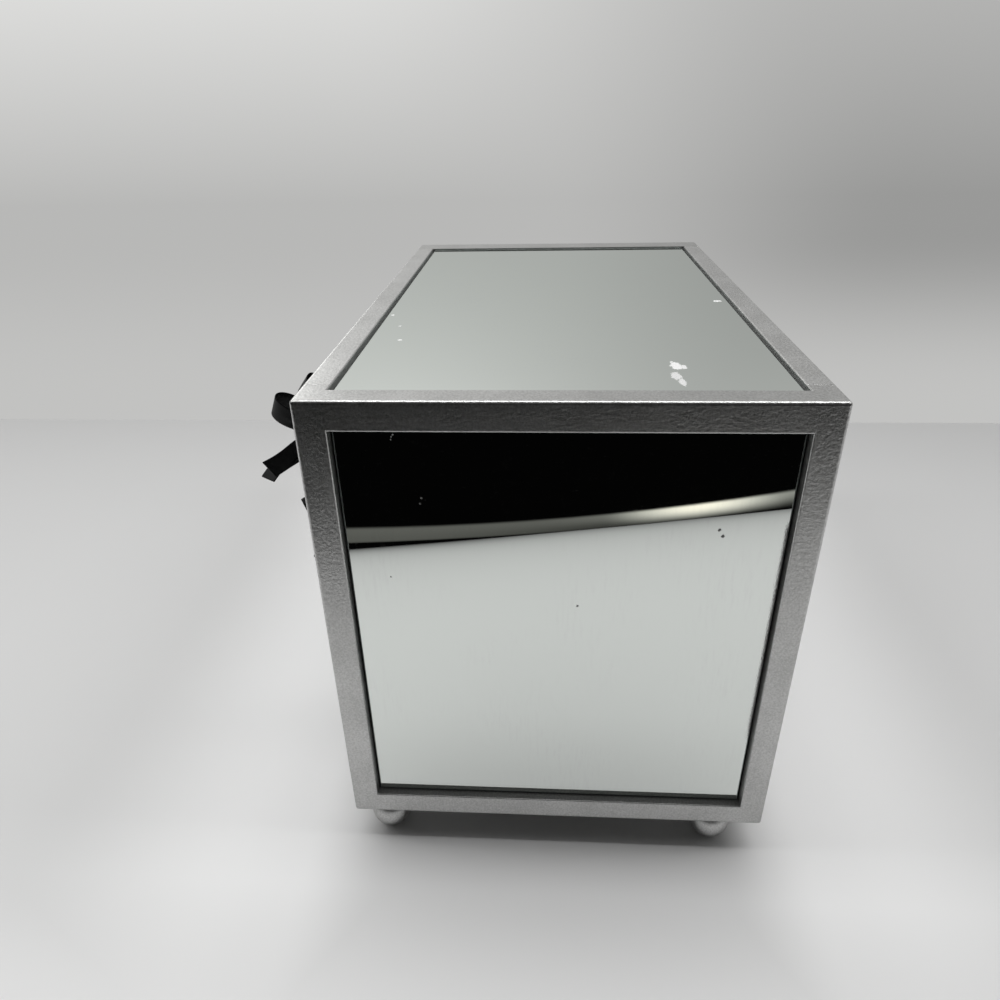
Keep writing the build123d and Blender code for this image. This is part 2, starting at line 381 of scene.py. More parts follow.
@dataclass(frozen=True)
class MirrorGlass:
    """Silvered plate with ground edges, a little dust and a few flecks."""

    tint: Colour = (0.765, 0.795, 0.77, 1.0)
    dusty: Colour = (0.73, 0.75, 0.735, 1.0)
    edge: Colour = (0.42, 0.47, 0.45, 1.0)
    grazing: Colour = (0.85, 0.87, 0.855, 1.0)
    index: float = 1.52
    roughness: float = 0.012
    haze_roughness: float = 0.02
    mark_roughness: float = 0.8
    dust: Grain = Grain(28.0, 4.0, 0.55)
    dust_step: Ramp = Ramp(0.45, 0.75)
    scratch: Grain = Grain(1100.0, 2.0, 0.6)
    scratch_step: Ramp = Ramp(0.45, 0.8)
    scratch_stretch: Triple = (1.0, 1.0, 0.12)
    arris: float = 0.55 * MM
    arris_rim: float = 0.8
    edge_roughness: float = 0.35
    edge_bare: float = 0.6

    def material(self, name: str, plate: tuple[Vector, Vector], facing: Facing, marks: Sequence[Mark] = (),
                 wear: Wear | None = None) -> Material:
        """Make the glass of one plate.

        Args:
            name: The material's name.
            plate: The lowest and highest corner of the plate.
            facing: Which way it faces.
            marks: The flecks and specks on it.
            wear: Where its silvering has gone, if anywhere.

        Returns:
            The material.
        """
        g = new_graph(name)
        axes = [index for index, axis in enumerate("XYZ") if axis != facing.value]
        place = [g.split["XYZ"[index]] for index in axes]
        low, high = ([corner[index] for index in axes] for corner in plate)
        inside = []
        for here, start, end in zip(place, low, high):
            off = g.math("ABSOLUTE", g.less(here, (start + end) / 2))
            inside.append(g.less((end - start) / 2, off))
        arris = Ramp(self.arris * self.arris_rim, self.arris, 1.0, 0.0)
        ground = g.ramp(g.math("MINIMUM", *inside), arris)
        dust = g.noise(self.dust)
        scratch = g.noise(self.scratch, g.stretched(g.whole, self.scratch_stretch))
        haze = g.times(g.ramp(dust, self.dust_step), g.ramp(scratch, self.scratch_step))
        base = g.mix(ground, g.mix(haze, self.tint, self.dusty), self.edge)
        rough = g.add(g.times(haze, self.haze_roughness), self.roughness)
        rough = g.math("MAXIMUM", rough, g.times(ground, self.edge_roughness))
        metal = g.less(1.0, g.times(ground, self.edge_bare))
        spots = [(mark.mask(g, place, low), mark.tone) for mark in marks]
        if wear is not None:
            spots.append((wear.mask(g, g.less(high[0], place[0]), place[1], low[1]), wear.tone))
        for spot, tone in spots:
            base = g.mix(spot, base, grey(tone))
            rough = g.math("MAXIMUM", rough, g.times(spot, self.mark_roughness))
            metal = g.times(metal, g.less(1.0, spot, clamp=True))
        others = {"Metallic": metal, "IOR": self.index, "Specular Tint": self.grazing}
        return g.principled(base, rough, others)


@dataclass(frozen=True)
class BlackSatin:
    """Black satin ribbon, with its fine weave across."""

    colour: Colour = (0.0020, 0.0020, 0.0024, 1.0)
    thread: Colour = (0.006, 0.006, 0.007, 1.0)
    roughness: float = 0.30
    thread_roughness: float = 0.12
    specular: float = 0.08
    weave_pitch: float = 0.28 * MM
    thread_scale: Triple = (9000.0, 500.0, 1.0)
    thread_step: Ramp = Ramp(0.3, 0.8)
    bump: float = 0.25
    bump_depth: float = 0.04 * MM

    def material(self, name: str) -> Material:
        """Make the satin, on the ribbon's own UV map in metres."""
        g = new_graph(name)
        uv = g.node("UVMap", uv_map="ribbon").outputs[0]
        turns = g.times(g.parts(uv)["Y"], 2 * pi / self.weave_pitch)
        rows = g.times(g.add(g.math("SINE", turns), 1.0), 0.5)
        threads = g.noise(Grain(1.0), g.stretched(uv, self.thread_scale))
        base = g.mix(g.times(rows, g.ramp(threads, self.thread_step)), self.colour, self.thread)
        rough = g.add(g.times(threads, self.thread_roughness), self.roughness)
        bump = g.bump(rows, self.bump, self.bump_depth)
        return g.principled(base, rough, {"Normal": bump, "Specular IOR Level": self.specular})


@dataclass(frozen=True)
class BlackVelvet:
    """Short black velvet, its pile brushed in soft patches."""

    dark: Colour = (0.004, 0.0036, 0.004, 1.0)
    light: Colour = (0.022, 0.020, 0.022, 1.0)
    pile: Grain = Grain(3200.0, 2.0, 0.7)
    pile_step: Ramp = Ramp(0.25, 0.8)
    patch: Grain = Grain(45.0, 3.0)
    patch_step: Ramp = Ramp(0.35, 0.7)
    bump: float = 0.5
    bump_depth: float = 0.2 * MM
    roughness: float = 0.95
    sheen: float = 0.8
    sheen_roughness: float = 0.35
    sheen_tint: Colour = (0.55, 0.55, 0.6, 1.0)

    def material(self, name: str) -> Material:
        """Make the velvet."""
        g = new_graph(name)
        patch = g.ramp(g.noise(self.patch), self.patch_step)
        pile = g.noise(self.pile)
        base = g.mix(g.times(patch, g.ramp(pile, self.pile_step)), self.dark, self.light)
        bump = g.bump(pile, self.bump, self.bump_depth)
        others = {"Normal": bump, "Sheen Weight": self.sheen, "Sheen Roughness": self.sheen_roughness,
                  "Sheen Tint": self.sheen_tint}
        return g.principled(base, self.roughness, others)


@dataclass(frozen=True)
class StainedBoard:
    """Thin board stained black, its grain still showing."""

    dark: Colour = (0.012, 0.011, 0.010, 1.0)
    light: Colour = (0.045, 0.042, 0.038, 1.0)
    stretch: Triple = (14.0, 380.0, 380.0)
    grain: Grain = Grain(1.0, 5.0, 0.65)
    grain_step: Ramp = Ramp(0.35, 0.7)
    bump: float = 0.3
    bump_depth: float = 0.2 * MM
    roughness: float = 0.45
    roughness_spread: float = 0.3

    def material(self, name: str) -> Material:
        """Make the board."""
        g = new_graph(name)
        grain = g.noise(self.grain, g.stretched(g.whole, self.stretch))
        base = g.mix(g.ramp(grain, self.grain_step), self.dark, self.light)
        rough = g.add(g.times(grain, self.roughness_spread), self.roughness)
        bump = g.bump(grain, self.bump, self.bump_depth)
        return g.principled(base, rough, {"Normal": bump})


def placed(name: str, data: bpy.types.ID) -> Piece:
    """A new object in the scene."""
    made = bpy.data.objects.new(name, data)
    bpy.context.scene.collection.objects.link(made)
    return made


def dress(material: Material, *nodes: str) -> None:
    """Give CAD nodes their finish."""
    for node in nodes:
        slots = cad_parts[node].data.materials
        slots.clear()
        slots.append(material)


def smooth(value: float) -> float:
    """A smooth step from 0 to 1."""
    value = min(max(value, 0.0), 1.0)
    return value * value * (3 - 2 * value)


def mesh_object(name: str, bm: Mesh, material: Material) -> Piece:
    """Turn a bmesh into a finished object at the origin.

    Args:
        name: The piece's name.
        bm: Its mesh, which is freed.
        material: Its finish.

    Returns:
        The object.
    """
    mesh = bpy.data.meshes.new(name)
    bm.to_mesh(mesh)
    bm.free()
    mesh.materials.append(material)
    for polygon in mesh.polygons:
        polygon.use_smooth = True
    return placed(name, mesh)


def extrude(bm: Mesh, edges: list, move: Sequence[float]) -> list:
    """Draw edges out into faces.

    Args:
        bm: The mesh.
        edges: The edges.
        move: How far they go.

    Returns:
        The edges at the far end.
    """
    made = bmesh.ops.extrude_edge_only(bm, edges=edges)["geom"]
    moved = {part for part in made if isinstance(part, bmesh.types.BMVert)}
    bmesh.ops.translate(bm, verts=list(moved), vec=move)
    drawn = [part for part in made if isinstance(part, bmesh.types.BMEdge)]
    return [edge for edge in drawn if moved.issuperset(edge.verts)]


def thicken(piece: Piece, thickness: float, offset: float, levels: int) -> None:
    """Give a sheet its thickness and smooth it."""
    solid = piece.modifiers.new("thickness", "SOLIDIFY")
    solid.thickness = thickness
    solid.offset = offset
    solid.use_even_offset = True
    if levels:
        surface = piece.modifiers.new("smooth", "SUBSURF")
        surface.levels = levels
        surface.render_levels = levels


@dataclass(frozen=True)
class Lie:
    """How a loop or tail lies: its turn, climb and twist in degrees, and its extra length in mm."""

    turn: float
    climb: float
    twist: float
    extra: float

    def axes(self) -> Matrix:
        """Columns out along the ribbon, across its face and across its width."""
        turn, climb = radians(self.turn), radians(self.climb)
        along = Vector((sin(turn) * cos(climb), -cos(turn) * cos(climb), sin(climb)))
        upright = Vector((0, 0, 1))
        across = (upright - along * upright.dot(along)).normalized()
        across = Matrix.Rotation(radians(self.twist), 3, along) @ across
        return Matrix((along, across.cross(along), across)).transposed()


BOW_SHAPES: dict[tuple[Level, Side], tuple[Lie, ...]] = {
    (Level.TOP, Side.RIGHT): (
        Lie(-4, 27, -20, -4), Lie(-58, 39, 18, -3), Lie(51, -17, -12, 0.5), Lie(34, -32, 85, 2)),
    (Level.TOP, Side.LEFT): (
        Lie(60, 10, 0, 0), Lie(-58, 6, -10, 0), Lie(16, -36, 12, 0), Lie(-24, -30, 0, 2)),
    (Level.MIDDLE, Side.RIGHT): (
        Lie(-39, 50, 60, 0), Lie(82, 9, 4, -4), Lie(-36, -44, 0, -4), Lie(-58, -26, 10, -2)),
    (Level.MIDDLE, Side.LEFT): (
        Lie(58, 18, 15, 0), Lie(-60, 6, 0, 0), Lie(22, -38, 0, -1), Lie(-14, -42, 0, -2)),
    (Level.BOTTOM, Side.RIGHT): (
        Lie(84, 8, 0, -4), Lie(-56, 20, -15, 0), Lie(-40, -42, 0, -5), Lie(-60, -20, 0, -3)),
    (Level.BOTTOM, Side.LEFT): (
        Lie(62, 6, 0, -1), Lie(-54, 20, 0, 1), Lie(28, -32, 0, 0), Lie(-12, -44, 10, -3)),
}


@dataclass
class RibbonBow:
    """One bow of black satin: two loops and two tails, a knot, a stem and a stop knot."""

    level: Level
    side: Side
    satin: Material
    width: float = 10.0 * MM
    thickness: float = 0.3 * MM
    gathered: float = 4.0 * MM
    gather_run: float = 9.0 * MM
    pleat_depth: float = 0.55 * MM
    pleat_run: float = 15.3 * MM
    pleats: float = 2.5
    end_inset: float = 57.5 * MM
    stem_radius: float = 1.8 * MM
    stem_pleats: int = 5
    stem_pleat_depth: float = 0.12
    stem_twist: float = 1.4
    stem_rings: int = 24
    knot_size: Triple = (6.5 * MM, 6.0 * MM, 7.5 * MM)
    knot_slack: float = 9.3 * MM
    knot_bluntness: float = 0.55
    knot_rounding: int = 5
    knot_squareness: float = 0.16
    knot_folds: float = 4.5
    knot_fold_depth: float = 0.05
    knot_fold_lean: float = 0.7
    knot_fill: float = 0.94
    stop_knot: float = 7.0 * MM
    loop_length: float = 24.0 * MM
    loop_ribbon: float = 2.1
    loop_fullness: float = 7.0 * MM
    loop_ripple: float = 0.35 * MM
    loop_ripple_scale: float = 160.0
    loop_ripple_across: float = 0.8
    tail_length: float = 27.0 * MM
    tail_slant: float = 2.6 * MM
    tail_sag: float = 1.5 * MM
    tail_ripple: float = 0.5 * MM
    tail_waves: float = 1.1
    loop_phases: tuple[float, float] = (0.4, 1.7)
    tail_phases: tuple[float, float] = (0.9, 3.0)
    steps_along: int = 40
    steps_across: int = 10
    steps_around: int = 40
    steps_over: int = 24

    @property
    def name(self) -> str:
        """What the names of the bow's pieces begin with."""
        return f"{self.level.value}_{self.side.value}_ribbon"

    @property
    def node(self) -> str:
        """The CAD node that the bow stands for."""
        return f"{self.level.value}_drawer_bow_{self.side.value}"

    @property
    def loops(self) -> tuple[Lie, ...]:
        """How its two loops lie."""
        return BOW_SHAPES[self.level, self.side][:2]

    @property
    def tails(self) -> tuple[Lie, ...]:
        """How its two tails lie."""
        return BOW_SHAPES[self.level, self.side][2:]

    @property
    def knot(self) -> Vector:
        """The middle of the knot."""
        low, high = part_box(f"{self.level.value}_drawer_mirror")
        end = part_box(f"end_board_{self.side.value}")
        across = max(abs(end[0][0]), abs(end[1][0])) - self.end_inset
        out = low[1] - self.knot_slack - self.knot_size[1] / 2
        return Vector((across if self.side is Side.RIGHT else -across, out, (low[2] + high[2]) / 2))

    @property
    def stop(self) -> Vector:
        """The middle of the knot inside the drawer."""
        knot = self.knot
        return Vector((knot.x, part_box(self.node)[1][1] - self.stop_knot / 2, knot.z))

    def cut_length(self) -> float:
        """The length of ribbon in the loops and the tails."""
        loops = sum(self.loop_ribbon * (self.loop_length + lie.extra * MM) for lie in self.loops)
        return loops + sum(self.tail_length + lie.extra * MM for lie in self.tails)

    def _strip(self, bm: Mesh, place: Callable[[float, float], Vector], length: float) -> None:
        """Add one strip of ribbon to a mesh.

        Args:
            bm: The mesh.
            place: Where a point lies, from its share of the length and its place across, from -1 to 1.
            length: The strip's length, for its UV map in metres.
        """
        layer = bm.loops.layers.uv.get("ribbon") or bm.loops.layers.uv.new("ribbon")
        steps = {"x_segments": self.steps_along, "y_segments": self.steps_across}
        grid = bmesh.ops.create_grid(bm, **steps, size=1.0)["verts"]
        flat = {vertex: vertex.co.copy() for vertex in grid}
        for vertex, co in flat.items():
            vertex.co = place((co.x + 1) / 2, co.y)
        for face in {face for vertex in flat for face in vertex.link_faces}:
            for loop in face.loops:
                co = flat[loop.vert]
                loop[layer].uv = (co.y * self.width / 2, (co.x + 1) / 2 * length)

    def _pleat(self, out: float, across: float, phase: float) -> float:
        """How far a gathered ribbon stands off its own middle."""
        depth = self.pleat_depth * (1 - smooth(out / self.pleat_run))
        return depth * cos(pi * self.pleats * across + phase)

    def _half_width(self, out: float) -> float:
        """Half the ribbon's width at a distance from the knot."""
        share = smooth(out / self.gather_run)
        return (self.gathered + (self.width - self.gathered) * share) / 2

    def _loop(self, bm: Mesh, lie: Lie, phase: float) -> None:
        """Add one loop: out, round and back."""
        length = self.loop_length + lie.extra * MM
        axes = lie.axes()
        widest, nudge = 0.77, 0.01
        belly = self.loop_fullness / 2 / widest
        knot = self.knot

        def middle(share: float) -> Vector:
            angle = 2 * pi * share
            return Vector((length * (1 - cos(angle)) / 2, belly * sin(angle) * sin(angle / 2), 0))

        def place(share: float, across: float) -> Vector:
            here = middle(share)
            ahead = middle(share + nudge) - middle(share - nudge)
            normal = Vector((-ahead.y, ahead.x, 0)).normalized()
            spot = Vector((here.x * self.loop_ripple_scale, here.y * self.loop_ripple_scale,
                           across * self.loop_ripple_across + phase))
            ripple = self.loop_ripple * noise.noise(spot)
            stand = self._pleat(here.x, across, phase) + ripple * smooth(here.x / length)
            local = here + normal * stand + Vector((0, 0, across * self._half_width(here.x)))
            return knot + axes @ local

        self._strip(bm, place, self.loop_ribbon * length)

    def _tail(self, bm: Mesh, lie: Lie, phase: float) -> None:
        """Add one tail, its end cut at a slant."""
        length = self.tail_length + lie.extra * MM
        axes = lie.axes()
        knot = self.knot

        def place(share: float, across: float) -> Vector:
            out = share * (length - self.tail_slant * (1 - across) / 2)
            bend = self.tail_sag * 4 * share * (1 - share)
            wave = sin(2 * pi * self.tail_waves * share + phase + across)
            stand = bend + self.tail_ripple * wave * share + self._pleat(out, across, phase)
            return knot + axes @ Vector((out, stand, across * self._half_width(out)))

        self._strip(bm, place, length)

    def _ribbon(self) -> Piece:
        """The loops and tails as one sheet."""
        bm = bmesh.new()
        for lie, phase in zip(self.loops, self.loop_phases):
            self._loop(bm, lie, phase)
        for lie, phase in zip(self.tails, self.tail_phases):
            self._tail(bm, lie, phase)
        piece = mesh_object(self.name, bm, self.satin)
        thicken(piece, self.thickness, 0.0, 1)
        return piece

    def _wrapped(self, name: str, centre: Vector, size: Sequence[float]) -> Piece:
        """A knot: ribbon wrapped round the gathers, tucked in at both sides.

        Args:
            name: The piece's name.
            centre: The middle of the knot.
            size: Its size along X, Y and Z.

        Returns:
            The knot.
        """
        bm = bmesh.new()
        layer = bm.loops.layers.uv.new("ribbon")
        steps = {"u_segments": self.steps_around, "v_segments": self.steps_over}
        bmesh.ops.create_uvsphere(bm, **steps, radius=1.0)
        bmesh.ops.rotate(bm, verts=bm.verts, matrix=Matrix.Rotation(pi / 2, 3, "Y"))
        girth = pi * (size[1] + size[2]) / 2
        for face in bm.faces:
            for loop in face.loops:
                co = loop.vert.co
                loop[layer].uv = (co.x * size[0] / 2, atan2(co.y, co.z) / (2 * pi) * girth)
        for vertex in bm.verts:
            co = vertex.co.copy()
            aside = copysign(abs(co.x) ** self.knot_bluntness, co.x) if co.x else 0.0
            around = atan2(co.y, co.z)
            ring = max(1 - abs(co.x) ** self.knot_rounding, 0.0) ** 0.5
            turn = self.knot_folds * pi * co.x + self.knot_fold_lean * sin(around)
            fold = 1 + self.knot_fold_depth * cos(turn) * ring
            box = (abs(cos(around)) ** 4 + abs(sin(around)) ** 4) ** -self.knot_squareness
            ring *= fold * box * self.knot_fill
            out = Vector((aside * size[0], sin(around) * ring * size[1], cos(around) * ring * size[2]))
            vertex.co = centre + out / 2
        bmesh.ops.recalc_face_normals(bm, faces=bm.faces)
        return mesh_object(name, bm, self.satin)

    def _stem(self) -> Piece:
        """The gathered ribbon from the knot through the drawer front to the stop knot."""
        knot = self.knot
        length = self.stop.y - knot.y
        bm = bmesh.new()
        layer = bm.loops.layers.uv.new("ribbon")
        bmesh.ops.create_circle(bm, cap_ends=False, segments=self.steps_around, radius=1.0)
        edges = list(bm.edges)
        for _ in range(self.stem_rings):
            edges = extrude(bm, edges, (0, 0, 1 / self.stem_rings))
        for face in bm.faces:
            for loop in face.loops:
                co = loop.vert.co
                loop[layer].uv = (atan2(co.y, co.x) / pi * self.width / 2, co.z * length)
        for vertex in bm.verts:
            co = vertex.co.copy()
            around = atan2(co.y, co.x)
            pleat = cos(self.stem_pleats * around + self.stem_twist * 2 * pi * co.z)
            radius = self.stem_radius * (1 - self.stem_pleat_depth * (1 - pleat))
            out = Vector((radius * cos(around), length * co.z, radius * sin(around)))
            vertex.co = knot + out
        bmesh.ops.recalc_face_normals(bm, faces=bm.faces)
        return mesh_object(f"{self.name}_stem", bm, self.satin)

    def build(self) -> None:
        """Make the bow and hang it on its drawer."""
        ribbon = self._ribbon()
        knot = self._wrapped(f"{self.name}_knot", self.knot, self.knot_size)
        stop_knot = self._wrapped(f"{self.name}_stop_knot", self.stop, (self.stop_knot,) * 3)
        stem = self._stem()
        for piece in (ribbon, knot, stop_knot, stem):
            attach(piece, f"{self.level.value}_drawer")
        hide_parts(self.node)
        self.cut_length()
        LOG.info("%s: %.0f mm", self.name, self.cut_length() / MM)


@dataclass
class DrawerLining:
    """The velvet tray in one drawer."""

    level: Level
    velvet: Material
    thickness: float = 1.2 * MM
    slack: float = 0.05 * MM
    corner: float = 1.6 * MM
    corner_steps: int = 4
    rim: float = 0.4 * MM
    flat_rim: float = 1.0 * MM
    puff: float = 0.22 * MM
    puff_scale: float = 55.0
    cuts: int = 24
    long_edge: float = 20.0 * MM

    def build(self) -> None:
        """Make the tray and lay it in its drawer."""
        node = f"{self.level.value}_drawer_lining"
        low, high = (Vector(corner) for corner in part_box(node))
        inner_low = low + Vector((self.thickness,) * 3)
        inner_high = high - Vector((self.thickness, self.thickness, self.rim))
        size = inner_high - inner_low
        middle = (inner_low + inner_high) / 2
        bm = bmesh.new()
        bmesh.ops.create_cube(bm, size=1.0)
        bmesh.ops.scale(bm, verts=bm.verts, vec=size)
        bmesh.ops.translate(bm, verts=bm.verts, vec=middle)
        lid = [face for face in bm.faces if face.normal.z > 0.5]
        bmesh.ops.delete(bm, geom=lid, context="FACES_ONLY")
        folded = [edge for edge in bm.edges if not edge.is_boundary]
        bmesh.ops.bevel(bm, geom=folded, offset=self.corner, affect="EDGES", segments=self.corner_steps,
                        profile=0.5, material=-1)
        long = [edge for edge in bm.edges if edge.calc_length() > self.long_edge]
        bmesh.ops.subdivide_edges(bm, edges=long, cuts=self.cuts, use_grid_fill=True)
        bmesh.ops.reverse_faces(bm, faces=bm.faces)
        for vertex in bm.verts:
            wave = noise.noise(vertex.co * self.puff_scale)
            inward = (middle - vertex.co).normalized()
            if vertex.co.z < inner_high.z - self.flat_rim:
                vertex.co += inward * self.puff * (0.5 + wave)
        piece = mesh_object(f"{self.level.value}_velvet_lining", bm, self.velvet)
        thicken(piece, self.thickness - self.slack, -1.0, 0)
        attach(piece, f"{self.level.value}_drawer")
        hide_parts(node)
        LOG.info("lining %s: %.0f x %.0f mm", self.level.value, size.x / MM, size.y / MM)


@dataclass
class BoxCase:
    """The case: painted boards, feet, and the mirrors in its top and ends."""

    paint: SilverPaint = SilverPaint()
    # Painted shade: a darker copy of the silver paint, for the two end boards.
    end_paint: SilverPaint = SilverPaint((0.585, 0.585, 0.58, 1.0), (0.395, 0.395, 0.39, 1.0), roughness=0.32)
    feet_paint: SilverPaint = SilverPaint(bump=0.05, flake=Grain(1800.0, 3.0, 0.7))
    glass: MirrorGlass = MirrorGlass()
    boards: tuple[str, ...] = ("top_board", "bottom_board", "back_board", "shelf_1", "shelf_2")
    ends: tuple[str, ...] = ("end_board_right", "end_board_left")
    spray_depth: float = 0.1 * MM
    spray_front: float = 5.5 * MM
    spray_back: float = 2.0 * MM
    fade_end: float = 5.0 * MM
    fade_side: float = 2.5 * MM
    fade_low: float = 0.5 * MM
    fade_top: float = 4.5 * MM
    top_marks: tuple[Mark, ...] = (
        Mark(197.8, 101.4, 1.8, 0.80, 2.4), Mark(198.8, 103.7, 1.0, 0.74, 2.2),
        Mark(206.9, 100.1, 1.7, 0.66, 2.2), Mark(212.4, 101.2, 1.2, 0.68, 2.8),
        Mark(116.4, 129.8, 1.6, 0.90), Mark(135.8, 2.1, 0.8, 0.85),
        Mark(151.5, 7.6, 0.6, 0.85), Mark(169.4, 10.8, 0.8, 0.92),
    )
    end_marks: tuple[Mark, ...] = (
        Mark(113.2, 115.8, 0.55, 0.26), Mark(114.4, 113.7, 0.60, 0.24),
        Mark(72.0, 87.0, 0.45, 0.36), Mark(12.8, 97.0, 0.30, 0.32),
        Mark(24.5, 125.6, 0.32, 0.34), Mark(24.0, 123.7, 0.28, 0.36),
        Mark(17.7, 146.1, 0.28, 0.80), Mark(17.2, 145.4, 0.24, 0.75),
        Mark(17.0, 144.6, 0.20, 0.70),
    )
    end_wear: Wear = Wear(2.4 * MM, 20.0 * MM, 122.0 * MM)

    def unsprayed(self) -> Unsprayed:
        """The inside of the case, which the spray hardly reaches, with the walls of the pockets that the
        mirrors lie in, where shade is painted.
        """
        low, high = Vector(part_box("end_board_left")[0]), Vector(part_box("end_board_right")[1])
        reach = Vector((self.spray_depth, self.spray_front, self.spray_back))
        top_reach = Vector((self.spray_depth, self.spray_back, self.spray_depth))
        soft_low = Vector((self.fade_end, self.fade_side, self.fade_low))
        soft_high = Vector((self.fade_end, self.fade_side, self.fade_top))
        return Unsprayed(low + reach, high - top_reach, soft_low, soft_high)

    def build(self) -> None:
        """Give every node of the case its finish."""
        unsprayed = self.unsprayed()
        dress(self.paint.material("silver_paint_case", unsprayed), *self.boards)
        # The end boards get the darker copy of the paint, which is painted shade.
        dress(self.end_paint.material("silver_paint_ends", unsprayed), *self.ends)
        feet = [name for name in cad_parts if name.startswith("foot_")]
        dress(self.feet_paint.material("silver_paint_feet"), *feet)
        marks = {"top_mirror": (Facing.TOP, self.top_marks, None),
                 "end_mirror_right": (Facing.END, self.end_marks, self.end_wear),
                 "end_mirror_left": (Facing.END, (), None)}
        for node, (facing, flecks, wear) in marks.items():
            dress(self.glass.material(f"glass_{node}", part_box(node), facing, flecks, wear), node)
        LOG.info("case: %d boards and %d mirrors, with the feet", len(self.boards + self.ends), len(marks))


@dataclass
class Drawer:
    """One drawer: painted front, mirror, black box, velvet lining and two bows."""

    level: Level
    satin: Material
    velvet: Material
    board: Material
    paint: SilverPaint = SilverPaint()
    glass: MirrorGlass = MirrorGlass()
    spray_depth: float = 0.1 * MM
    spray_side: float = 2.0 * MM
    past_back: float = 3.0 * MM
    fade: float = 2.2 * MM
    fade_side: float = 0.5 * MM

    def unsprayed(self) -> Unsprayed:
        """The walls of the pocket that the drawer's mirror lies in, where shade is painted."""
        low, high = (Vector(corner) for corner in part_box(f"{self.level.value}_drawer_front"))
        reach = Vector((self.spray_side, self.spray_depth, self.spray_side))
        past = Vector((-self.spray_side, self.past_back, -self.spray_side))
        soft = Vector((self.fade_side, self.fade, self.fade_side))
        return Unsprayed(low + reach, high + past, soft, soft)

    def build(self) -> None:
        """Dress the drawer's nodes and add its soft pieces."""
        name = f"{self.level.value}_drawer"
        dress(self.paint.material(f"silver_paint_{name}", self.unsprayed()), f"{name}_front")
        mirror = f"{name}_mirror"
        dress(self.glass.material(f"glass_{mirror}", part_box(mirror), Facing.FRONT), mirror)
        dress(self.board, *(f"{name}_{part}" for part in ("rear", "base", "side_right", "side_left")))
        DrawerLining(self.level, self.velvet).build()
        for side in Side:
            RibbonBow(self.level, side, self.satin).build()
        LOG.info("drawer %s", self.level.value)


@dataclass(frozen=True)
class Curve:
    """A slightly bent line on the table, X as a quadratic of Y, in metres."""

    start: float
    slope: float
    bend: float

    def at(self, y: float) -> float:
        """X at a value of Y."""
        return self.start + self.slope * y + self.bend * y * y

    def socket(self, g: Graph, y: Socket) -> Socket:
        """X at a value of Y, as nodes."""
        return g.add(g.times(g.add(g.times(y, self.bend), self.slope), y), self.start)


@dataclass
class PhotoCamera:
    """The camera as the photograph was taken, placed from the near end's lower front corner."""

    focal_share: float = 0.741558
    pitch: float = 28.562
    yaw: float = -3.922
    roll: float = -1.281
    across: float = 71.32 * MM
    ahead: float = 189.78 * MM
    above: float = 239.99 * MM
    sensor: float = 36.0
    nearest: float = 10.0 * MM

    def build(self) -> None:
        """Make the camera."""
        low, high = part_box("end_board_right")
        pitch, yaw, roll = (radians(angle) for angle in (self.pitch, self.yaw, self.roll))
        out = Vector((-cos(yaw) * cos(pitch), sin(yaw) * cos(pitch), -sin(pitch)))
        level = Vector((sin(yaw), cos(yaw), 0))
        upward = level.cross(out)
        right = cos(roll) * level + sin(roll) * upward
        top = -sin(roll) * level + cos(roll) * upward
        data = bpy.data.cameras.new("camera")
        data.sensor_width = self.sensor
        data.lens = self.focal_share * self.sensor
        data.clip_start = self.nearest
        camera = placed("camera", data)
        place = Vector((high[0] + self.ahead, low[1] + self.across, low[2] + self.above))
        camera.matrix_world = Matrix.Translation(place) @ Matrix((right, top, -out)).transposed().to_4x4()
        bpy.context.scene.camera = camera


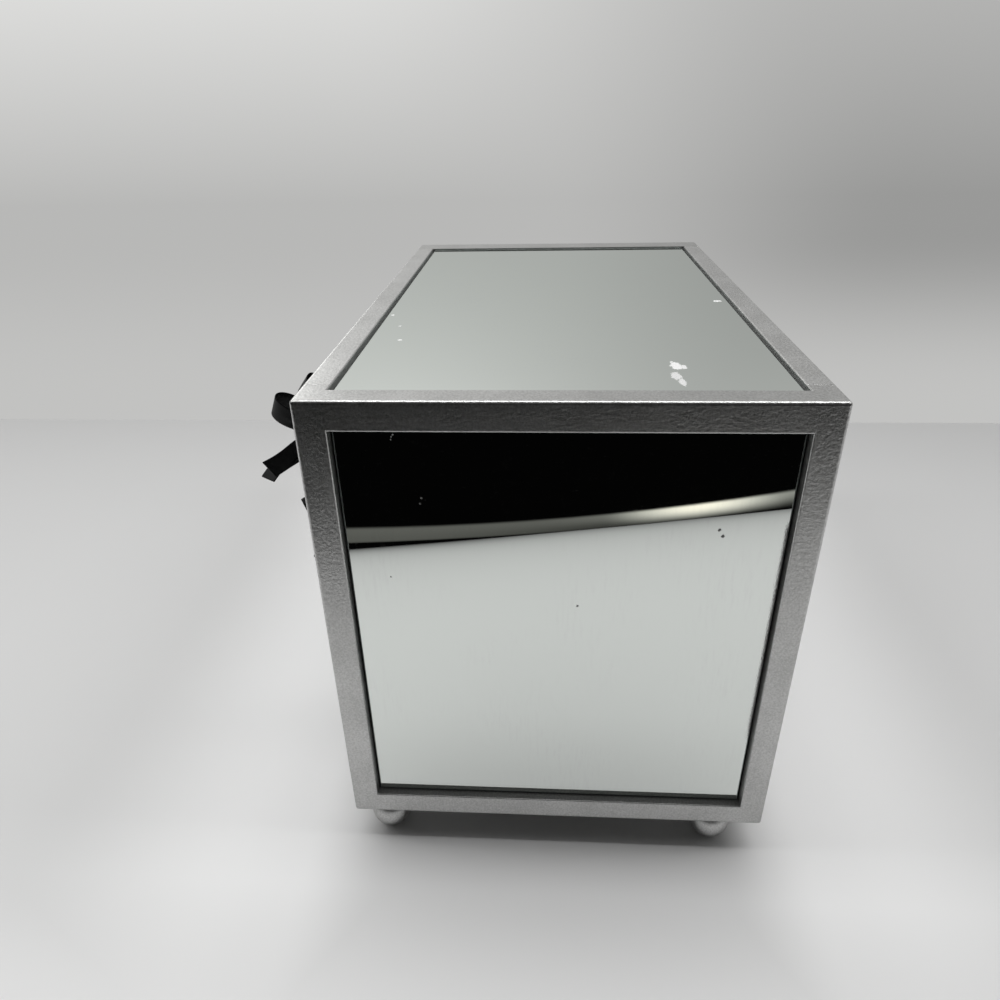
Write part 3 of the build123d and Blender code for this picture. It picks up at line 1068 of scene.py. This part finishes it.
@dataclass
class Table:
    """The pale floor, which ends in front of the box where the mirrors show it, and a glowing strip, seen
    only in reflections, that is a painted reflection of its rim.
    """

    albedo: float = 0.80
    cloud: Grain = Grain(3.0)
    cloud_depth: float = 0.01
    back: float = -0.30
    half_width: float = 2.5
    reach: float = 0.35
    steps: int = 24
    edge: Curve = Curve(0.3449, 0.196, 0.12)
    rim_near: Curve = Curve(0.3460, 0.162, 0.344)
    rim_far: Curve = Curve(0.3651, 0.161, 0.491)
    # The painted reflection of the rim: its brightness, tints and painted highlight.
    rim_low: Ramp = Ramp(-0.10, 0.16, 0.11, 0.01)
    rim_high: Ramp = Ramp(0.0, 0.16, 0.13, 0.32)
    rim_rise: Ramp = Ramp(0.0, 0.8)
    rim_begin: Ramp = Ramp(-0.1, 0.12)
    rim_end: Ramp = Ramp(0.78, 1.02, 1.0, 0.0)
    rim_plain: Colour = (1.0, 1.0, 0.91, 1.0)
    rim_lit: Colour = (1.0, 0.94, 0.80, 1.0)
    shine_at: float = 0.120
    shine_along: Ramp = Ramp(0.0, 0.070, 1.0, 0.0)
    shine_across: Ramp = Ramp(-0.1, 0.7)
    # Painted shade near the table's edge and in front of the box, and a painted glow by the box.
    edge_fall: float = -200.0
    edge_loss: Ramp = Ramp(-0.06, 0.05, 0.55, 0.35)
    wide_fall: float = -33.0
    wide_loss: float = 0.35
    close_loss: Ramp = Ramp(0.15, 0.19, 0.04, 0.0)
    seen_loss: float = 0.14
    thrown_start: Ramp = Ramp(-0.015, 0.02)
    thrown_fade: Ramp = Ramp(0.04, 0.13, 0.215, 0.0)
    thrown_ahead: Ramp = Ramp(-0.01, 0.06, 1.0, 0.45)
    front_lift: Ramp = Ramp(0.022, 0.068, 0.0, 0.08)

    def _thrown(self, g: Graph) -> Socket:
        """Painted light: a glow that only the camera sees, for the light that the box's mirrored sides throw
        back on the table beside it, and a lift in front of its end.
        """
        low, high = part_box("end_board_right")
        middle, half = (low[1] + high[1]) / 2, (high[1] - low[1]) / 2
        aside = g.less(g.math("ABSOLUTE", g.less(g.split["Y"], middle)), half)
        ahead = g.less(g.split["X"], high[0])
        beside = g.times(g.ramp(aside, self.thrown_start), g.ramp(aside, self.thrown_fade),
                         g.ramp(ahead, self.thrown_ahead))
        return g.math("MAXIMUM", beside, g.ramp(ahead, self.front_lift))

    def _top(self, shaded: bool) -> Material:
        """The table's white top.

        Args:
            shaded: Whether it has painted shade near its edge and a painted shadow in front of the box's end,
                for all rays but the camera's, and a painted glow beside the box for the camera, which sees it
                evenly a little darker.

        Returns:
            The material.
        """
        g = new_graph("table_edge" if shaded else "table")
        pale, paler = grey(self.albedo - self.cloud_depth), grey(self.albedo + self.cloud_depth)
        base = g.mix(g.noise(self.cloud), pale, paler)
        if not shaded:
            return g.show("BsdfDiffuse", {"Color": base})
        # Painted shade: darker near the table's edge and just in front of the box, for all rays but the
        # camera's.
        inward = g.less(self.edge.socket(g, g.split["Y"]), g.split["X"])
        falls = (self.edge_fall, self.wide_fall)
        near, wide = (g.math("EXPONENT", g.times(inward, fall)) for fall in falls)
        near, wide = g.times(near, g.ramp(g.split["Y"], self.edge_loss)), g.times(wide, self.wide_loss)
        painted_shade = g.math("MAXIMUM", g.add(near, wide), g.ramp(g.split["X"], self.close_loss))
        seen = g.ray("Camera")
        loss = g.blend(seen, painted_shade, self.seen_loss)
        shader = g.node("BsdfDiffuse", {"Color": g.mix(loss, base, grey(0.0))})
        # Painted light: the table glows beside and in front of the box, for the camera only.
        glow = g.node("Emission", {"Strength": g.times(self._thrown(g), seen)})
        return g.show("AddShader", {0: shader.outputs[0], 1: glow.outputs[0]})

    def _strip(self, name: str, near: Callable[[float], float], far: Callable[[float], float],
               material: Material) -> Piece:
        """A flat strip between two lines across the table.

        Args:
            name: Its name.
            near: X of its nearer line at a value of Y.
            far: X of its farther line at a value of Y.
            material: Its finish.

        Returns:
            The strip, with a UV map that runs across it.
        """
        bm = bmesh.new()
        layer = bm.loops.layers.uv.new("across")
        places = [self.reach * (2 * step / self.steps - 1) for step in range(self.steps + 1)]
        places = [-self.half_width, *places, self.half_width]
        pairs = []
        for y in places:
            inside = max(min(y, self.reach), -self.reach)
            pairs.append([bm.verts.new((line(inside), y, 0)) for line in (near, far)])
        for first, second in zip(pairs, pairs[1:]):
            face = bm.faces.new((first[0], first[1], second[1], second[0]))
            for loop, across in zip(face.loops, (0, 1, 1, 0)):
                loop[layer].uv = (across, 0)
        bmesh.ops.recalc_face_normals(bm, faces=bm.faces)
        return mesh_object(name, bm, material)

    def _rim(self) -> Material:
        """Painted reflection: a glowing strip for the table's brushed metal rim, brightest in a painted
        highlight where a lamp would show in it.
        """
        g = new_graph("table_rim")
        across = g.parts(g.node("UVMap", uv_map="across").outputs[0])["X"]
        low, high = g.ramp(g.split["Y"], self.rim_low), g.ramp(g.split["Y"], self.rim_high)
        body = g.blend(g.ramp(across, self.rim_rise), low, high)
        away = g.math("ABSOLUTE", g.less(g.split["Y"], self.shine_at))
        spot = g.times(g.ramp(away, self.shine_along), g.ramp(across, self.shine_across))
        sides = g.times(g.ramp(across, self.rim_begin), g.ramp(across, self.rim_end))
        tone = g.mix(spot, self.rim_plain, self.rim_lit)
        return g.show("Emission", {"Color": tone, "Strength": g.times(g.add(body, spot), sides)})

    def build(self) -> None:
        """Lay the table."""
        shown = self._strip("floor", lambda y: self.back, self.edge.at, self._top(True))
        front = self._strip("floor_front", self.edge.at, lambda y: self.half_width, self._top(False))
        # Only glossy rays see the glowing rim, a painted reflection.
        rim = self._strip("floor_rim", self.rim_near.at, self.rim_far.at, self._rim())
        for piece in (front, rim):
            piece.visible_diffuse = False
            piece.visible_transmission = False
            piece.visible_shadow = False
        front.visible_glossy = False
        rim.visible_camera = False


@dataclass
class Backdrop:
    """A plain wall that curves up from the table, brighter towards its top and towards the drawers."""

    x: float = -0.42
    height: float = 1.6
    radius: float = 0.12
    half_width: float = 2.5
    steps: int = 12
    tint: Colour = (1.0, 1.0, 0.985, 1.0)
    foot: float = 0.54
    foot_rise: Ramp = Ramp(0.0, 0.14)
    low_glow: Ramp = Ramp(0.0, 0.34, 0.48, 0.32)
    high_glow: Ramp = Ramp(-0.18, 0.24, 0.75, 0.49)
    low_at: float = 0.17
    high_at: float = 0.365
    rise_end: float = 2.2
    # Painted highlight: a patch that glows for glossy rays only.
    patch_begin: Ramp = Ramp(-0.40, -0.34)
    patch_end: Ramp = Ramp(-0.27, -0.23, 2.3, 0.0)
    patch_low: Ramp = Ramp(0.20, 0.26)
    patch_high: Ramp = Ramp(0.40, 0.50, 1.0, 0.0)

    def _paper(self) -> Material:
        """Glowing paper, with a painted highlight: a brighter patch that only glossy rays see, which the
        top's near left corner mirrors.
        """
        g = new_graph("backdrop")
        y, z = g.split["Y"], g.split["Z"]
        limits = {"Value": z, "From Min": self.low_at, "From Max": self.high_at}
        up = g.node("MapRange", limits, clamp=False).outputs["Result"]
        rise = g.math("MINIMUM", g.math("MAXIMUM", up, 0.0), self.rise_end)
        glow = g.blend(rise, g.ramp(y, self.low_glow), g.ramp(y, self.high_glow))
        glow = g.blend(g.ramp(z, self.foot_rise), self.foot, glow)
        # Painted highlight, seen in reflections only.
        patch = g.times(g.ray("Glossy"), g.ramp(y, self.patch_begin), g.ramp(y, self.patch_end),
                        g.ramp(z, self.patch_low), g.ramp(z, self.patch_high))
        return g.show("Emission", {"Color": self.tint, "Strength": g.add(glow, patch)})

    def build(self) -> None:
        """Stand the wall behind the box."""
        profile = [(self.x, self.height)]
        for step in range(self.steps + 1):
            angle = pi / 2 * step / self.steps
            profile.append((self.x + self.radius * (1 - cos(angle)), self.radius * (1 - sin(angle))))
        bm = bmesh.new()
        line = [bm.verts.new((x, -self.half_width, z)) for x, z in profile]
        for first, second in zip(line, line[1:]):
            bm.edges.new((first, second))
        extrude(bm, list(bm.edges), (0, 2 * self.half_width, 0))
        mesh_object("backdrop", bm, self._paper())


@dataclass
class Light:
    """A long lamp above the near end and light from all round, less of it from in front of that end.

    Under the table's edge it is dark, which the end mirror shows.
    """

    sky: Ramp = Ramp(0.0, 1.0, 0.30, 1.35)
    front: Ramp = Ramp(-0.30, 0.35, 1.0, 0.05)
    below: Ramp = Ramp(-0.06, 0.02, 1.0, 0.0)
    dark: float = 0.0012
    behind: float = 0.55
    tint: Colour = (1.0, 1.0, 0.99, 1.0)
    lamp_place: Triple = (0.089, -0.05, 1.0)
    lamp_width: float = 0.13
    lamp_length: float = 2.0
    lamp_power: float = 7.2

    def _world(self) -> None:
        """The light from all round."""
        world = bpy.data.worlds.new("studio")
        bpy.context.scene.world = world
        g = Graph(world)
        direction = g.parts(g.node("TexCoord").outputs["Generated"])
        sky = g.times(g.ramp(direction["Z"], self.sky), g.ramp(direction["X"], self.front))
        strength = g.blend(g.ramp(direction["Z"], self.below), sky, self.dark)
        strength = g.blend(g.ray("Camera"), strength, self.behind)
        g.show("Background", {"Color": self.tint, "Strength": strength})

    def _lamp(self) -> None:
        """The long lamp above."""
        data = bpy.data.lights.new("overhead", "AREA")
        data.shape = "RECTANGLE"
        data.size = self.lamp_width
        data.size_y = self.lamp_length
        data.energy = self.lamp_power
        placed("overhead", data).location = self.lamp_place

    def build(self) -> None:
        """Light the scene."""
        self._world()
        self._lamp()
        bpy.context.scene.view_settings.view_transform = "Standard"


def main() -> None:
    """Set up the studio, the camera first, and dress the box."""
    for part in (PhotoCamera(), Table(), Backdrop(), Light(), BoxCase()):
        part.build()
        LOG.info("built: %s", type(part).__name__)
    satin = BlackSatin().material("black_satin")
    velvet = BlackVelvet().material("black_velvet")
    board = StainedBoard().material("black_board")
    for level in Level:
        Drawer(level, satin, velvet, board).build()


if __name__ == "__main__":
    main()
